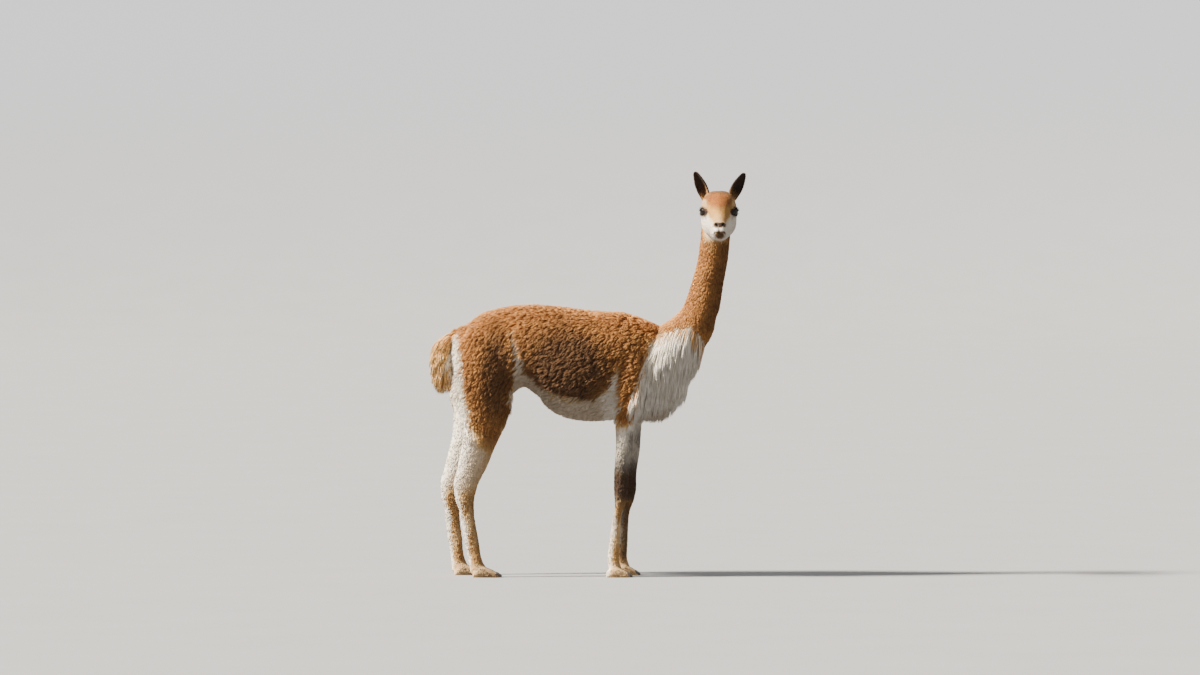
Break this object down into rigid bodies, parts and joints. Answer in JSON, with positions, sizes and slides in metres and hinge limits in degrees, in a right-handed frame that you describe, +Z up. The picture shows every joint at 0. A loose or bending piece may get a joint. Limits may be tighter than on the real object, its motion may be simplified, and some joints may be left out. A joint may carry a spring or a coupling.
{
  "type": "vicuna",
  "caption": "Life-size standing vicuna with its head turned to its right, cinnamon fleece, long white chest bib and slender legs.",
  "frame": {"origin": "floor level, below the middle of the model's own box", "axes": "+Z up and the longest extent, +X the way the body faces (from tail to chest), +Y the animal's left side; the head looks along -Y"},
  "size_m": [0.9717, 0.3295, 1.2558],
  "materials": {
    "fleece": "short dense cinnamon wool, matt",
    "cream": "long soft white hair, matt",
    "leg_coat": "short flat fawn and cream hair, matt",
    "ear_coat": "short near-black hair, matt",
    "eye": "wet dark brown, glossy",
    "nail": "dark horn, satin"
  },
  "bodies": {
    "root": {"head": "fleece", "ear_left": "ear_coat", "ear_right": "ear_coat", "eye_left": "eye", "eye_right": "eye", "neck": "fleece", "chest": "cream", "barrel": "fleece", "hips": "fleece", "tail": "fleece", "thigh_left": "fleece", "thigh_right": "fleece", "hind_shank_left": "leg_coat", "hind_shank_right": "leg_coat", "hind_foot_left": "leg_coat", "hind_foot_right": "leg_coat", "foreleg_left": "leg_coat", "foreleg_right": "leg_coat", "fore_foot_left": "leg_coat", "fore_foot_right": "leg_coat", "nail_fore_left_inner": "nail", "nail_fore_left_outer": "nail", "nail_fore_right_inner": "nail", "nail_fore_right_outer": "nail", "nail_hind_left_inner": "nail", "nail_hind_left_outer": "nail", "nail_hind_right_inner": "nail", "nail_hind_right_outer": "nail"}
  },
  "joints": []
}
